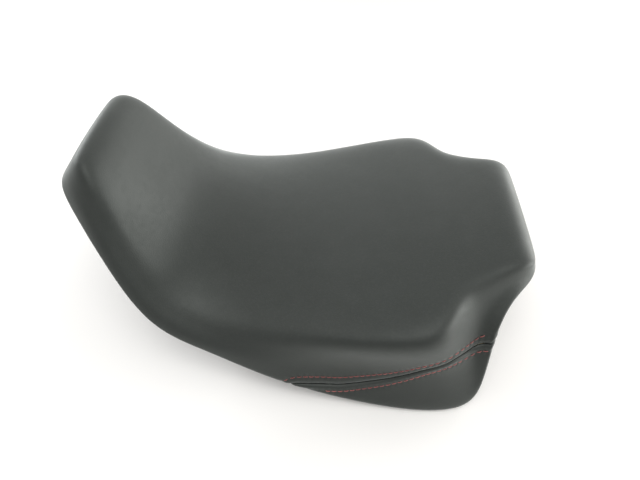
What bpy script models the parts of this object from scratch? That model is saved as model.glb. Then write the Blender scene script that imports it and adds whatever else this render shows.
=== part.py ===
"""A motorcycle rider's seat, taken apart: sewn cover, foam, moulded pan and the hardware under it.

The seat stands on a table as it would on a bench. +X points to the nose, +Y to the rider's left and +Z up.
The origin is on the table, in the middle of the seat's outline. Lengths in the tables are in millimetres.
"""

import math

import bmesh
import bpy
from mathutils import Matrix, Vector
from mathutils.bvhtree import BVHTree

MM = 0.001
GAP = 0.3  # clearance left between pieces that touch
COVER_THICKNESS = 1.2
PAN_THICKNESS = 3.0
ORIGIN_BACK = 200.8  # distance from the nose's crown line back to the origin
TABLE_LIFT = 5.33  # raises the tables' heights until the lowest fold rests on the table

# One row for each cross-section, from the nose to the tail. "back" is the distance behind the nose.
# centre line (back, height), crown edge (back, half width, height), skirt edge (back, half width, height)
STATIONS = (
    ((-4, 212), (-4, 68, 211), (-38, 67, 184)),
    ((26, 155), (26, 106, 145), (8, 119, 118)),
    ((60, 107), (60, 134, 88), (44, 148, 60)),
    ((110, 86), (112, 148, 71), (104, 159, 42)),
    ((176, 82), (176, 155, 70), (168, 176, 20)),
    ((240, 87), (240, 163, 79), (238, 185, 4)),
    ((296, 98), (298, 171, 91), (304, 191, -4)),
    ((330, 105), (336, 167, 99), (356, 190, -5)),
    ((352, 108), (354, 126, 105), (391, 175, -5)),
    ((372, 112), (370, 104, 109), (388, 145, 64)),
    ((396, 118), (394, 92, 116), (408, 112, 92)),
    ((422, 124), (422, 83, 122), (439, 74, 99)),
)
# How the top domes from the centre line out to the crown edge: (share of the width, share of the height).
DOME = ((0.66, 0.74),)
# The side wall from crown to skirt: (share of the way down, how hollow the wall is there).
WALL = ((0.18, 0.6), (0.48, 1.0), (0.82, 0.4), (1.0, 0.0))
HOLLOW = 11.0  # depth of the hollow along the sides

HEM_DEPTH = 13.0  # how far the cover's folded edge goes back up the inside of the pan
HEM_ROOM = 6.4  # from the pan's outer face to the outside of the folded edge
PAN_INSET = 6.0  # the pan's edge sits this far inside the cover,
PAN_LIFT = 6.0  # and this far above its fold
PAN_WALL_HEIGHT = 0.05  # metres; a lower wall of the pan is less hollow
PAN_CROWN_INSET = 14.0  # the pan's top edge sits this far inside the crown edge
PAN_NOSE_INSET = 5.0  # the pan's top stops this far down the slope from the nose
SIDE_THINNING = 0.2  # the foam loses this share of its depth out to the crown edge
BELOW_FOOT = (8.0, 16.0)  # how far the pan's guide surface is carried on below its foot, in two steps
FOAM_GAP = 0.8
FOAM_AT_ENDS = 20.0
FOAM_IN_MIDDLE = 44.0
TAPE_SPACE = 2.0  # room between cover and foam, where the seam tapes lie
SEAT_LENGTH = 426.0  # nose crown to tail crown

# The seam of the side panel, seen from the side: (back, height).
SEAM = (
    (172, 2), (189, 19), (228, 21), (264, 25), (290, 34),
    (314, 45), (338, 52), (364, 54), (389, 60), (412, 70),
)
STITCH_OFFSET = (6.0, 9.5)  # from the seam to each row of stitches, at its front end and its rear end
STITCH_SPANS = {1: (186.0, 384.0), -1: (236.0, 384.0)}  # where the upper and lower rows begin and end
TAPE_SPAN = (230.0, 380.0)
THREAD_RADIUS = 0.4
TAPE_WIDTH = 15.0
TAPE_THICKNESS = 0.6

PRISM_INNER = 60.0  # the seam's cutting prism reaches from this side
PRISM_WIDTH = 180.0  # this far outwards,
PRISM_FLOOR = -40.0  # and down to this height

# Hardware. Every place is (back, side).
TONGUE_SIZE = (92.0, 44.0, 3.0)
TONGUE_BACK = 84.0
TONGUE_TOP = 37.0
TONGUE_TIP = 40.0  # length of its thinner front end
TONGUE_TIP_STEP = 0.5  # how much thinner on each face
TONGUE_PAD = (36.0, 52.0, 50.0)
TONGUE_PAD_BACK = 110.0
TONGUE_SCREWS = ((112.0, -13.0), (112.0, 13.0))
BRACKET_SIZE = (52.0, 124.0, 2.5)
BRACKET_BACK = 397.0
BRACKET_TOP = 78.0
BRACKET_PAD = (24.0, 124.0, 40.0)
BRACKET_PAD_BACK = 384.0
BRACKET_SCREWS = ((384.0, -42.0), (384.0, 0.0), (384.0, 42.0))
LUGS = ((411.0, -45.0), (411.0, 45.0))
FEET = ((150.0, -60.0), (150.0, 60.0))
BUFFERS = ((240.0, -85.0), (240.0, 85.0), (340.0, -70.0), (340.0, 70.0))
DRAINS = ((200.0, 0.0), (290.0, 0.0))
DRAIN_RADIUS = 5.0
DRAIN_TOP = 130.0
SIDE_RIBS = (-60.0, 60.0)  # ribs along the pan, at these sides
CROSS_RIBS = (180.0, 265.0, 315.0)  # ribs across the pan, this far back
SIDE_RIB_LENGTH = 205.0
SIDE_RIB_BACK = 235.0  # the middle of the ribs that run along the pan
CROSS_RIB_LENGTH = 236.0
RIB_THICKNESS = 3.0
RIB_DEPTH = 11.0
RIB_BLANK = (5.0, 120.0)  # lowest height and height of a rib before it is cut to the pan's shape
TRIM_HEIGHT = 45.0  # reach above the pan of the solid that trims its bosses
LEG_RADIUS = 12.0
LEG_BLANK_TOP = 60.0
BOSS_BLANK_HEIGHT = 30.0
FOOT_HEIGHT = 12.0  # height of the legs' lower faces
BUFFER_SEAT = (34.0, 34.0, 58.0, 58.0)  # heights of the other bosses' lower faces
BUFFER_RADIUS = 10.0
BUFFER_HEIGHT = 12.0
BUFFER_EDGE = (2.5, 3.0)  # the bevel round a buffer's lower edge: (inwards, up)
STEM_RADIUS = 3.5
STEM_LENGTH = 9.0
SHANK_RADIUS = 2.5
SHANK_LENGTH = 7.0
HEAD_RADIUS = 5.5
HEAD_HEIGHT = 3.5
HEAD_EDGE = (1.5, 1.0)  # the bevel round a head: (inwards, up)
SOCKET_RADIUS = 2.0
SOCKET_DEPTH = 2.2
PLATE_CORNER = 8.0
LUG_HOLE_RADIUS = 7.0
GROMMET_LIP = 3.0  # how far a grommet's lips reach past the hole
GROMMET_LIP_HEIGHT = 2.5
COLLAR_RADIUS = 5.0
COLLAR_LIFT = 3.0  # a collar stands this far out of its plate, just past the grommet's lips
BOLT_HOLE_RADIUS = 3.3
THROUGH = 20.0  # reach of a cutter past the plate that it goes through
OVERRUN = 5.0  # reach of a hole's cutter below its face
PAD_THICKNESS = 5.0
PAD_SPAN = 24.0
PAD_WIDTH = 110.0
PAD_BACK = 14.0
PAD_BLANK = (60.0, 160.0)  # lowest height and height of the box that the pad is cut from
STAPLE_SIZE = (10.0, 1.2, 0.7)
STAPLE_LIFT = 0.6  # where the staples sit on the folded edge, from its turn (0) to its end (1)
STAPLE_INWARD = 3.0  # a staple's nearest face of the cover is looked for from this far inside it
SEAT_MIDDLE = 200.0
# Where the staples sit along one half of the rim, counted in stations from the nose's middle.
STAPLES = (0.25, 1.15, 2.25, 3.25, 4.25, 5.25, 6.25, 7.25, 8.25, 10.25, 11.25, 12.25, 13.25, 14.75)
SIDES = (("left", 1), ("right", -1))
# A cage's faces are numbered by band, in their material index, and this is where two bands start.
LOWEST_WALL = 1
BELOW_THE_FOOT = 2


def place(back, side, height):
    """A point of the seat from its distance behind the nose, its distance to the left and its height."""
    return Vector(((ORIGIN_BACK - back) * MM, side * MM, (height + TABLE_LIFT) * MM))


def foam_depth(back):
    share = min(max(back / SEAT_LENGTH, 0.0), 1.0)
    return FOAM_AT_ENDS + (FOAM_IN_MIDDLE - FOAM_AT_ENDS) * math.sin(math.pi * share)


# ---------------------------------------------------------------- scene helpers


def clear_scene():
    for obj in list(bpy.data.objects):
        bpy.data.objects.remove(obj)


def collection_named(name):
    made = bpy.data.collections.new(name)
    bpy.context.scene.collection.children.link(made)
    return made


def material(name, colour, roughness, metallic=0.0):
    made = bpy.data.materials.new(name)
    made.use_nodes = True
    shader = made.node_tree.nodes["Principled BSDF"]
    shader.inputs["Base Color"].default_value = (*colour, 1.0)
    shader.inputs["Roughness"].default_value = roughness
    shader.inputs["Metallic"].default_value = metallic
    return made


def add_object(name, mesh, finish):
    obj = bpy.data.objects.new(name, mesh)
    PARTS.objects.link(obj)
    mesh.materials.clear()
    mesh.materials.append(finish)
    return obj


def add_cutter(name, mesh):
    obj = bpy.data.objects.new(name, mesh)
    obj.hide_render = True
    obj.display_type = "WIRE"
    CUTTERS.objects.link(obj)
    return obj


def evaluated_mesh(obj):
    graph = bpy.context.evaluated_depsgraph_get()
    return bpy.data.meshes.new_from_object(obj.evaluated_get(graph))


def mesh_from_bmesh(name, bm):
    mesh = bpy.data.meshes.new(name)
    bm.to_mesh(mesh)
    bm.free()
    return mesh


def boolean(obj, other, operation, crossing=False):
    """Adds a Boolean. crossing is for a layer whose two faces cross each other in a tight corner."""
    modifier = obj.modifiers.new(operation.lower() + "_" + other.name, "BOOLEAN")
    modifier.operation = operation
    modifier.solver = "EXACT"
    modifier.use_self = crossing
    modifier.object = other


# ---------------------------------------------------------------- the skin's cage


def top_row(centre, crown):
    """The cage's points from the centre line out to the crown edge."""
    start = place(centre[0], 0, centre[1])
    end = place(*crown)
    points = [start]
    for width_share, height_share in DOME:
        point = start.lerp(end, width_share)
        point.z = end.z + (start.z - end.z) * height_share
        points.append(point)
    return points + [end]


def skirt_row(skirt, count):
    """The skirt's points under one end of the seat, from the centre line out."""
    shares = [0.0] + [share for share, _ in DOME] + [1.0]
    return [place(skirt[0], skirt[1] * share, skirt[2]) for share in shares[:count]]


def round_the_rim(nose_row, side_points, tail_row):
    """One half of the rim: nose centre, out to the corner, along the side and in to the tail's centre."""
    return nose_row + side_points + tail_row[::-1]


def rim_directions(crown_rim, skirt_rim):
    """For each rim point, the way up the wall and the way out of it."""
    upward, outward = [], []
    last = len(skirt_rim) - 1
    for i in range(len(skirt_rim)):
        before, after = skirt_rim[max(i - 1, 0)], skirt_rim[min(i + 1, last)]
        up = (crown_rim[i] - skirt_rim[i]).normalized()
        along = (after - before).normalized()
        upward.append(up)
        outward.append(along.cross(up).normalized())
    return upward, outward


def wall_loops(crown_rim, skirt_rim, full_height=0.0):
    """The loops between the rims. The sides are hollow and the two ends are flat.

    Where a wall is lower than full_height, in metres, its hollow is shallower too.
    """
    ends = len(DOME) + 2
    loops = []
    for share, hollow in WALL:
        loop = [crown.lerp(skirt, share) for crown, skirt in zip(crown_rim, skirt_rim)]
        for i in range(ends, len(loop) - ends):
            depth = HOLLOW * hollow * MM
            if full_height:
                rise = crown_rim[i].z - skirt_rim[i].z
                depth *= min(max(rise / full_height, 0.0), 1.0)
            loop[i].y -= depth
        loops.append(loop)
    return loops


def skin_cage():
    """(top grid, crown rim, skirt rim, way up, way out) of the cover's outer surface."""
    grid = [top_row(centre, crown) for centre, crown, _ in STATIONS]
    sides = STATIONS[1:-1]
    crown_rim = round_the_rim(grid[0], [row[-1] for row in grid[1:-1]], grid[-1])
    count = len(grid[0])
    skirt_rim = round_the_rim(
        skirt_row(STATIONS[0][2], count),
        [place(*skirt) for _, _, skirt in sides],
        skirt_row(STATIONS[-1][2], count),
    )
    upward, outward = rim_directions(crown_rim, skirt_rim)
    return grid, crown_rim, skirt_rim, upward, outward


def slope_normals():
    """For each station, the way straight down into the seat, square to its centre line.

    The line goes on over both ends to the skirt, so that it turns the corner there.
    """
    _, _, nose_skirt = STATIONS[0]
    _, _, tail_skirt = STATIONS[-1]
    line = [(nose_skirt[0], nose_skirt[2])]
    line += [centre for centre, _, _ in STATIONS]
    line += [(tail_skirt[0], tail_skirt[2])]
    normals = []
    for before, after in zip(line, line[2:]):
        run, rise = after[0] - before[0], after[1] - before[1]
        normals.append(Vector((-rise, 0.0, -run)).normalized())
    return normals


def pan_rims(grid, skirt_rim, upward, outward):
    """(top grid, crown rim, foot rim) of the pan's upper surface, below the foam."""
    pan_grid = []
    for (centre, crown, _), row, inward in zip(STATIONS, grid, slope_normals()):
        points = []
        inset = 1.0 - PAN_CROWN_INSET / crown[1]
        for point in row:
            out = point.y / (crown[1] * MM)
            depth = foam_depth(centre[0]) * (1.0 - SIDE_THINNING * out)
            points.append(Vector((point.x, point.y * inset, point.z)) + inward * depth * MM)
        pan_grid.append(points)
    nose_slope = (pan_grid[1][0] - pan_grid[0][0]).normalized()
    for point in pan_grid[0]:
        point += nose_slope * PAN_NOSE_INSET * MM
    crown_rim = round_the_rim(pan_grid[0], [row[-1] for row in pan_grid[1:-1]], pan_grid[-1])
    foot_rim = [
        point - out * PAN_INSET * MM + up * PAN_LIFT * MM
        for point, up, out in zip(skirt_rim, upward, outward)
    ]
    return pan_grid, crown_rim, foot_rim


def hem_loops(pan_walls):
    """The cover's edge, folded round the pan's foot and laid against its inner face."""
    above_foot, foot_rim = pan_walls[-2:]
    upward, outward = rim_directions(above_foot, foot_rim)
    turned, returned = [], []
    for foot, up, out in zip(foot_rim, upward, outward):
        inside = foot - out * HEM_ROOM * MM
        turned.append(inside - up * PAN_LIFT / 2 * MM)
        returned.append(inside + up * HEM_DEPTH * MM)
    return [turned, returned]


def straight_below(pan_walls):
    """Two loops that carry the pan's wall straight on below its foot."""
    above_foot, foot_rim = pan_walls[-2:]
    upward, _ = rim_directions(above_foot, foot_rim)
    return [
        [foot - up * depth * MM for foot, up in zip(foot_rim, upward)] for depth in BELOW_FOOT
    ]


def half_cage_mesh(name, grid, loops):
    """A mesh of the left half: the top grid, with the loops hanging from its rim."""
    bm = bmesh.new()
    top = [[bm.verts.new(point) for point in row] for row in grid]
    for i in range(len(top) - 1):
        for j in range(len(top[0]) - 1):
            bm.faces.new((top[i][j], top[i][j + 1], top[i + 1][j + 1], top[i + 1][j]))
    above = round_the_rim(top[0], [row[-1] for row in top[1:-1]], top[-1])
    for k, loop in enumerate(loops):
        below = [bm.verts.new(point) for point in loop]
        for i in range(len(loop) - 1):
            face = bm.faces.new((above[i + 1], above[i], below[i], below[i + 1]))
            face.material_index = max(k - len(WALL) + 2, 0)
        above = below
    for vertex in bm.verts:
        if abs(vertex.co.y) < 1e-6:
            vertex.co.y = 0.0
    return mesh_from_bmesh(name, bm)


def smooth_surface(name, grid, loops, levels=1):
    """The whole surface as a mesh: mirrored, then subdivided."""
    guide = add_cutter(name, half_cage_mesh(name, grid, loops))
    mirror = guide.modifiers.new("mirror", "MIRROR")
    mirror.use_axis = (False, True, False)
    mirror.merge_threshold = 0.0001
    subdivision = guide.modifiers.new("subdivision", "SUBSURF")
    subdivision.levels = levels
    subdivision.render_levels = levels
    mesh = evaluated_mesh(guide)
    bpy.data.objects.remove(guide)
    return mesh


def without_band(mesh, lowest):
    """The surface without the bands of faces numbered lowest and up."""
    bm = bmesh.new()
    bm.from_mesh(mesh)
    extra = [face for face in bm.faces if face.material_index >= lowest]
    bmesh.ops.delete(bm, geom=extra, context="FACES")
    return mesh_from_bmesh(mesh.name + "_kept", bm)


def offset_surface(mesh, inward):
    """The same surface moved inwards along its normals, in millimetres."""
    moved = mesh.copy()
    normals = [vector.vector.copy() for vector in mesh.vertex_normals]
    for vertex, normal in zip(moved.vertices, normals):
        vertex.co = vertex.co - normal * inward * MM
    return moved


def closed_between(name, outer, inner):
    """A closed mesh between two surfaces that have the same faces."""
    bm = bmesh.new()
    outside = [bm.verts.new(vertex.co) for vertex in outer.vertices]
    inside = [bm.verts.new(vertex.co) for vertex in inner.vertices]
    for polygon in outer.polygons:
        bm.faces.new([outside[i] for i in polygon.vertices])
        bm.faces.new([inside[i] for i in reversed(polygon.vertices)])
    bm.edges.index_update()
    bm.verts.index_update()
    first_inside = len(outside)
    rims = [
        edge.verts[:]
        for edge in bm.edges
        if edge.is_boundary and edge.verts[0].index < first_inside
    ]
    for a, b in rims:
        bm.faces.new((a, b, inside[b.index], inside[a.index]))
    bmesh.ops.recalc_face_normals(bm, faces=bm.faces)
    return mesh_from_bmesh(name, bm)


# ---------------------------------------------------------------- simple solids


def box_mesh(name, size, centre):
    """A box, sizes in millimetres, its centre a Vector in metres."""
    bm = bmesh.new()
    bmesh.ops.create_cube(bm, size=1.0)
    bmesh.ops.scale(bm, vec=Vector(size) * MM, verts=bm.verts)
    bmesh.ops.translate(bm, vec=centre, verts=bm.verts)
    return mesh_from_bmesh(name, bm)


def turned_object(name, profile, finish, steps=20):
    """A solid turned about its own Z axis from (radius, height) points that run down its outer side."""
    bm = bmesh.new()
    points = [bm.verts.new((radius * MM, 0.0, height * MM)) for radius, height in profile]
    for a, b in zip(points, points[1:]):
        bm.edges.new((a, b))
    if profile[0][0] > 0.0:
        bm.edges.new((points[-1], points[0]))
    obj = add_object(name, mesh_from_bmesh(name, bm), finish)
    screw = obj.modifiers.new("turned", "SCREW")
    screw.steps = steps
    screw.render_steps = steps
    screw.use_merge_vertices = True
    screw.merge_threshold = 0.00002
    screw.use_smooth_shade = False
    return obj


def tube_mesh(name, points, radius, sides_resolution):
    """A round bar through the points, with welded caps."""
    curve = bpy.data.curves.new(name, "CURVE")
    curve.dimensions = "3D"
    curve.bevel_depth = radius * MM
    curve.bevel_resolution = sides_resolution
    curve.use_fill_caps = True
    spline = curve.splines.new("POLY")
    spline.points.add(len(points) - 1)
    for target, point in zip(spline.points, points):
        target.co = (*point, 1.0)
    guide = bpy.data.objects.new(name, curve)
    CUTTERS.objects.link(guide)
    mesh = evaluated_mesh(guide)
    bpy.data.objects.remove(guide)
    bm = bmesh.new()
    bm.from_mesh(mesh)
    bmesh.ops.remove_doubles(bm, verts=bm.verts, dist=0.00001)
    bmesh.ops.recalc_face_normals(bm, faces=bm.faces)
    return mesh_from_bmesh(name, bm)


def cylinder_mesh(name, radius, bottom, top, centre, sides=16):
    """An upright cylinder: centre is (back, side), bottom and top are heights above the table."""
    bm = bmesh.new()
    bmesh.ops.create_cone(
        bm, cap_ends=True, segments=sides, radius1=radius * MM, radius2=radius * MM, depth=(top - bottom) * MM
    )
    middle = place(centre[0], centre[1], 0.0)
    middle.z = (bottom + top) / 2 * MM
    bmesh.ops.translate(bm, vec=middle, verts=bm.verts)
    return mesh_from_bmesh(name, bm)


def bench_box(name, size, back, side, bottom):
    """An upright box standing on a height above the table."""
    centre = place(back, side, 0.0)
    centre.z = (bottom + size[2] / 2) * MM
    return box_mesh(name, size, centre)


# ---------------------------------------------------------------- cover and seams


def smooth_line(points, steps):
    """Points on a Catmull-Rom curve through the given (back, height) points."""
    line = []
    for i in range(len(points) - 1):
        p0, p1 = points[max(i - 1, 0)], points[i]
        p2, p3 = points[i + 1], points[min(i + 2, len(points) - 1)]
        for k in range(steps):
            t = k / steps
            line.append(tuple(
                0.5 * (2 * b + (c - a) * t + (2 * a - 5 * b + 4 * c - d) * t * t
                       + (3 * b - a - 3 * c + d) * t ** 3)
                for a, b, c, d in zip(p0, p1, p2, p3)
            ))
    return line + [points[-1]]


def below_seam(name, side, rise):
    """A prism holding everything below the seam on one side, its top moved up by rise millimetres."""
    outline = [(back, height + rise) for back, height in smooth_line(SEAM, 2)]
    outline = [(outline[0][0], PRISM_FLOOR)] + outline + [(SEAM[-1][0], PRISM_FLOOR)]
    bm = bmesh.new()
    corners = [place(back, side * PRISM_INNER, height) for back, height in outline]
    face = bm.faces.new([bm.verts.new(corner) for corner in corners])
    grown = bmesh.ops.extrude_face_region(bm, geom=[face])
    moved = [item for item in grown["geom"] if isinstance(item, bmesh.types.BMVert)]
    bmesh.ops.translate(bm, vec=(0.0, side * PRISM_WIDTH * MM, 0.0), verts=moved)
    bmesh.ops.recalc_face_normals(bm, faces=bm.faces)
    return add_cutter(name, mesh_from_bmesh(name, bm))


def on_the_wall(tree, back, height, side):
    """The skin's point and outward normal at a place seen from the side."""
    start = place(back, side * 300.0, height)
    point, normal, _, _ = tree.ray_cast(start, Vector((0.0, -side, 0.0)))
    return point, normal


def stitch_line(row, side, spacing):
    """(back, height) points of a stitch row; row is 1 above the seam and -1 below it."""
    seam = smooth_line(SEAM, 12)
    begin, end = STITCH_SPANS[row]
    points, last = [], None
    for (back, height), (next_back, next_height) in zip(seam, seam[1:]):
        share = (back - begin) / (end - begin)
        if share < 0.0 or share > 1.0:
            continue
        along = Vector((next_back - back, next_height - height)).normalized()
        offset = row * (STITCH_OFFSET[0] + (STITCH_OFFSET[1] - STITCH_OFFSET[0]) * share)
        point = Vector((back, height)) + Vector((-along.y, along.x)) * offset
        if last is None or (point - last).length > spacing:
            points.append(point)
            last = point
    return points


def thread(name, tree, row, side):
    """One row of thread, lying just clear of the cover."""
    points = []
    for back, height in stitch_line(row, side, 7.0):
        point, normal = on_the_wall(tree, back, height, side)
        points.append(point + normal * (3 * GAP + THREAD_RADIUS) * MM)
    mesh = tube_mesh(name, points, THREAD_RADIUS, 0)
    return add_object(name, mesh, THREAD)


def seam_tape(name, tree, side):
    """The tape sewn behind the seam: a strip that follows the inside of the cover."""
    bm = bmesh.new()
    rows = []
    for back, height in smooth_line(SEAM, 4):
        if not TAPE_SPAN[0] < back < TAPE_SPAN[1]:
            continue
        row = []
        for step in (-0.5, 0.0, 0.5):
            point, normal = on_the_wall(tree, back, height + step * TAPE_WIDTH, side)
            row.append(bm.verts.new(point - normal * (COVER_THICKNESS + 2 * GAP) * MM))
        rows.append(row)
    for row, after in zip(rows, rows[1:]):
        for k in range(len(row) - 1):
            corners = (row[k], row[k + 1], after[k + 1], after[k])
            bm.faces.new(corners if side < 0 else corners[::-1])
    strip = mesh_from_bmesh(name, bm)
    return add_object(name, closed_between(name, strip, offset_surface(strip, TAPE_THICKNESS)), WEBBING)


def build_cover(skin):
    """The sewn vinyl: one main panel, and a panel below the seam on each side."""
    whole = closed_between("cover", skin, offset_surface(skin, COVER_THICKNESS))
    main = add_object("cover_main_panel", whole, VINYL)
    for word, side in SIDES:
        boolean(main, below_seam("cut_main_" + word, side, GAP / 2), "DIFFERENCE")
        panel = add_object("cover_side_panel_" + word, whole.copy(), VINYL)
        boolean(panel, below_seam("keep_side_" + word, side, -GAP / 2), "INTERSECT")


def build_seams(tree):
    for word, side in SIDES:
        seam_tape("seam_tape_" + word, tree, side)
        thread("stitch_thread_upper_" + word, tree, 1, side)
        thread("stitch_thread_lower_" + word, tree, -1, side)


def build_staples(tree, hem):
    """Staples through the hem, seen from below: each lies flat on the folded cover."""
    crown = box_mesh("staple", STAPLE_SIZE, Vector())
    middle = [turned.lerp(returned, STAPLE_LIFT) for turned, returned in zip(*hem)]
    centre_of_seat = place(SEAT_MIDDLE, 0.0, 0.0)
    number = 0
    for mirror in (1, -1):
        for position in STAPLES:
            i = int(position)
            beside = middle[i].lerp(middle[i + 1], position - i)
            beside += (centre_of_seat - beside).normalized() * STAPLE_INWARD * MM
            point, normal, _, _ = tree.find_nearest(beside)
            along = normal.cross(middle[i + 1] - middle[i]).cross(normal).normalized()
            centre = point + normal * (3 * GAP + STAPLE_SIZE[2] / 2) * MM
            turn = Matrix((along, normal.cross(along), normal)).transposed().to_4x4()
            number += 1
            staple = add_object(f"hem_staple_{number:02d}", crown.copy(), STEEL)
            flip = Matrix.Diagonal((1.0, mirror, 1.0, 1.0))
            staple.data.transform(flip @ Matrix.Translation(centre) @ turn)
            if mirror < 0:
                staple.data.flip_normals()


# ---------------------------------------------------------------- foam and pan


def build_foam(skin, pan_top):
    """The cushion, which stops short of the fold in the cover."""
    outer = offset_surface(without_band(skin, LOWEST_WALL), COVER_THICKNESS + TAPE_SPACE)
    inner = offset_surface(without_band(pan_top, LOWEST_WALL), -FOAM_GAP)
    return add_object("foam_cushion", closed_between("foam", outer, inner), FOAM)


def above_the_pan(pan_top):
    """Everything from the middle of the pan's thickness up: it trims what is moulded under the pan."""
    outer = offset_surface(pan_top, -TRIM_HEIGHT)
    inner = offset_surface(pan_top, PAN_THICKNESS / 2)
    return add_cutter("above_the_pan", closed_between("above_the_pan", outer, inner))


def moulded_on(pan, upper, name, mesh):
    """Joins a boss or a pad to the underside of the pan, first cut to the pan's shape."""
    piece = add_cutter(name, mesh)
    boolean(piece, upper, "DIFFERENCE")
    boolean(pan, piece, "UNION")


def add_ribs(pan, pan_top):
    outer = offset_surface(pan_top, PAN_THICKNESS / 2)
    inner = offset_surface(pan_top, PAN_THICKNESS + RIB_DEPTH)
    layer = add_cutter("rib_layer", closed_between("rib_layer", outer, inner))
    low, height = RIB_BLANK
    for side in SIDE_RIBS:
        size = (SIDE_RIB_LENGTH, RIB_THICKNESS, height)
        mesh = bench_box("rib", size, SIDE_RIB_BACK, side, low)
        rib = add_cutter(f"rib_along_{side:+.0f}", mesh)
        boolean(rib, layer, "INTERSECT")
        boolean(pan, rib, "UNION")
    for back in CROSS_RIBS:
        mesh = bench_box("rib", (RIB_THICKNESS, CROSS_RIB_LENGTH, height), back, 0.0, low)
        rib = add_cutter(f"rib_across_{back:.0f}", mesh)
        boolean(rib, layer, "INTERSECT")
        boolean(pan, rib, "UNION")


def drill(pan, name, radius, bottom, top, hole):
    """A round hole in the pan, between two heights above the table."""
    cut = cylinder_mesh(name, radius, bottom, top, hole, 10)
    boolean(pan, add_cutter(name, cut), "DIFFERENCE")


def build_pan(pan_top):
    pan_under = offset_surface(pan_top, PAN_THICKNESS)
    pan = add_object("seat_pan", closed_between("pan", pan_top, pan_under), PLASTIC)
    add_ribs(pan, pan_top)
    upper = above_the_pan(pan_top)
    for i, foot in enumerate(FEET):
        leg = cylinder_mesh("leg", LEG_RADIUS, FOOT_HEIGHT, LEG_BLANK_TOP, foot)
        moulded_on(pan, upper, f"leg_{i}", leg)
    pad = bench_box("tongue_pad", TONGUE_PAD, TONGUE_PAD_BACK, 0.0, TONGUE_TOP + GAP)
    moulded_on(pan, upper, "tongue_pad", pad)
    pad = bench_box("bracket_pad", BRACKET_PAD, BRACKET_PAD_BACK, 0.0, BRACKET_TOP + GAP)
    moulded_on(pan, upper, "bracket_pad", pad)
    for i, (boss_place, seat) in enumerate(zip(BUFFERS, BUFFER_SEAT)):
        boss = cylinder_mesh("boss", LEG_RADIUS, seat, seat + BOSS_BLANK_HEIGHT, boss_place)
        moulded_on(pan, upper, f"boss_{i}", boss)
    for i, hole in enumerate(DRAINS):
        drill(pan, f"drain_{i}", DRAIN_RADIUS, -OVERRUN, DRAIN_TOP, hole)
    for i, (hole, seat) in enumerate(buffer_places()):
        drill(pan, f"stem_hole_{i}", STEM_RADIUS + GAP, seat - OVERRUN, seat + STEM_LENGTH + 1.0, hole)
    for i, (hole, seat) in enumerate(screw_places()):
        drill(pan, f"screw_hole_{i}", SHANK_RADIUS + GAP, seat - OVERRUN, seat + SHANK_LENGTH + 1.0, hole)


# ---------------------------------------------------------------- hardware under the pan


def buffer_places():
    """Every rubber buffer: (its place, the height of the plastic face it is pushed into)."""
    feet = [(foot, FOOT_HEIGHT) for foot in FEET]
    return feet + [(place_under, seat) for place_under, seat in zip(BUFFERS, BUFFER_SEAT)]


def screw_places():
    """Every screw: (its place, the height of the plastic face that its plate lies against)."""
    tongue = [(screw, TONGUE_TOP + GAP) for screw in TONGUE_SCREWS]
    return tongue + [(screw, BRACKET_TOP + GAP) for screw in BRACKET_SCREWS]


def build_buffers():
    """Rubber buffers, each with a stem pushed up into its boss."""
    inwards, up = BUFFER_EDGE
    for i, (at, seat) in enumerate(buffer_places()):
        profile = (
            (0.0, STEM_LENGTH), (STEM_RADIUS, STEM_LENGTH), (STEM_RADIUS, -GAP), (BUFFER_RADIUS, -GAP),
            (BUFFER_RADIUS, up - BUFFER_HEIGHT), (BUFFER_RADIUS - inwards, -BUFFER_HEIGHT),
            (0.0, -BUFFER_HEIGHT),
        )
        name = f"foot_buffer_{i + 1}" if i < len(FEET) else f"frame_buffer_{i + 1 - len(FEET)}"
        buffer = turned_object(name, profile, RUBBER, 14)
        buffer.location = place(at[0], at[1], 0.0)
        buffer.location.z = seat * MM


def build_screws():
    """A screw through each plate into the pan, with a hexagon socket in its head."""
    inwards, up = HEAD_EDGE
    for i, (at, seat) in enumerate(screw_places()):
        thickness = TONGUE_SIZE[2] if i < len(TONGUE_SCREWS) else BRACKET_SIZE[2]
        under_head = -GAP - thickness - GAP
        head_low = under_head - HEAD_HEIGHT
        profile = (
            (0.0, SHANK_LENGTH), (SHANK_RADIUS, SHANK_LENGTH), (SHANK_RADIUS, under_head),
            (HEAD_RADIUS, under_head), (HEAD_RADIUS, head_low + up), (HEAD_RADIUS - inwards, head_low),
            (0.0, head_low),
        )
        name = "tongue_screw_" if i < len(TONGUE_SCREWS) else "bracket_screw_"
        number = i + 1 if i < len(TONGUE_SCREWS) else i + 1 - len(TONGUE_SCREWS)
        screw = turned_object(name + str(number), profile, STEEL, 12)
        screw.location = place(at[0], at[1], 0.0)
        screw.location.z = seat * MM
        low = seat + head_low
        socket = cylinder_mesh("socket", SOCKET_RADIUS, low - OVERRUN, low + SOCKET_DEPTH, at, 6)
        boolean(screw, add_cutter(f"socket_{i}", socket), "DIFFERENCE")


def plate(name, size, back, top, holes, hole_radius):
    """A flat steel plate with rounded corners, lying against a pad above it."""
    bm = bmesh.new()
    bmesh.ops.create_cube(bm, size=1.0)
    bmesh.ops.scale(bm, vec=Vector(size) * MM, verts=bm.verts)
    upright = [edge for edge in bm.edges if abs(edge.verts[0].co.z - edge.verts[1].co.z) > 1e-4]
    bmesh.ops.bevel(bm, geom=upright, offset=PLATE_CORNER * MM, segments=4, affect="EDGES", profile=0.5)
    centre = place(back, 0.0, 0.0)
    centre.z = (top - size[2] / 2) * MM
    bmesh.ops.translate(bm, vec=centre, verts=bm.verts)
    obj = add_object(name, mesh_from_bmesh(name, bm), ZINC)
    for i, hole in enumerate(holes):
        cut = cylinder_mesh("hole", hole_radius[i], top - THROUGH, top + THROUGH, hole, 16)
        boolean(obj, add_cutter(f"{name}_hole_{i}", cut), "DIFFERENCE")
    return obj


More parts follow.
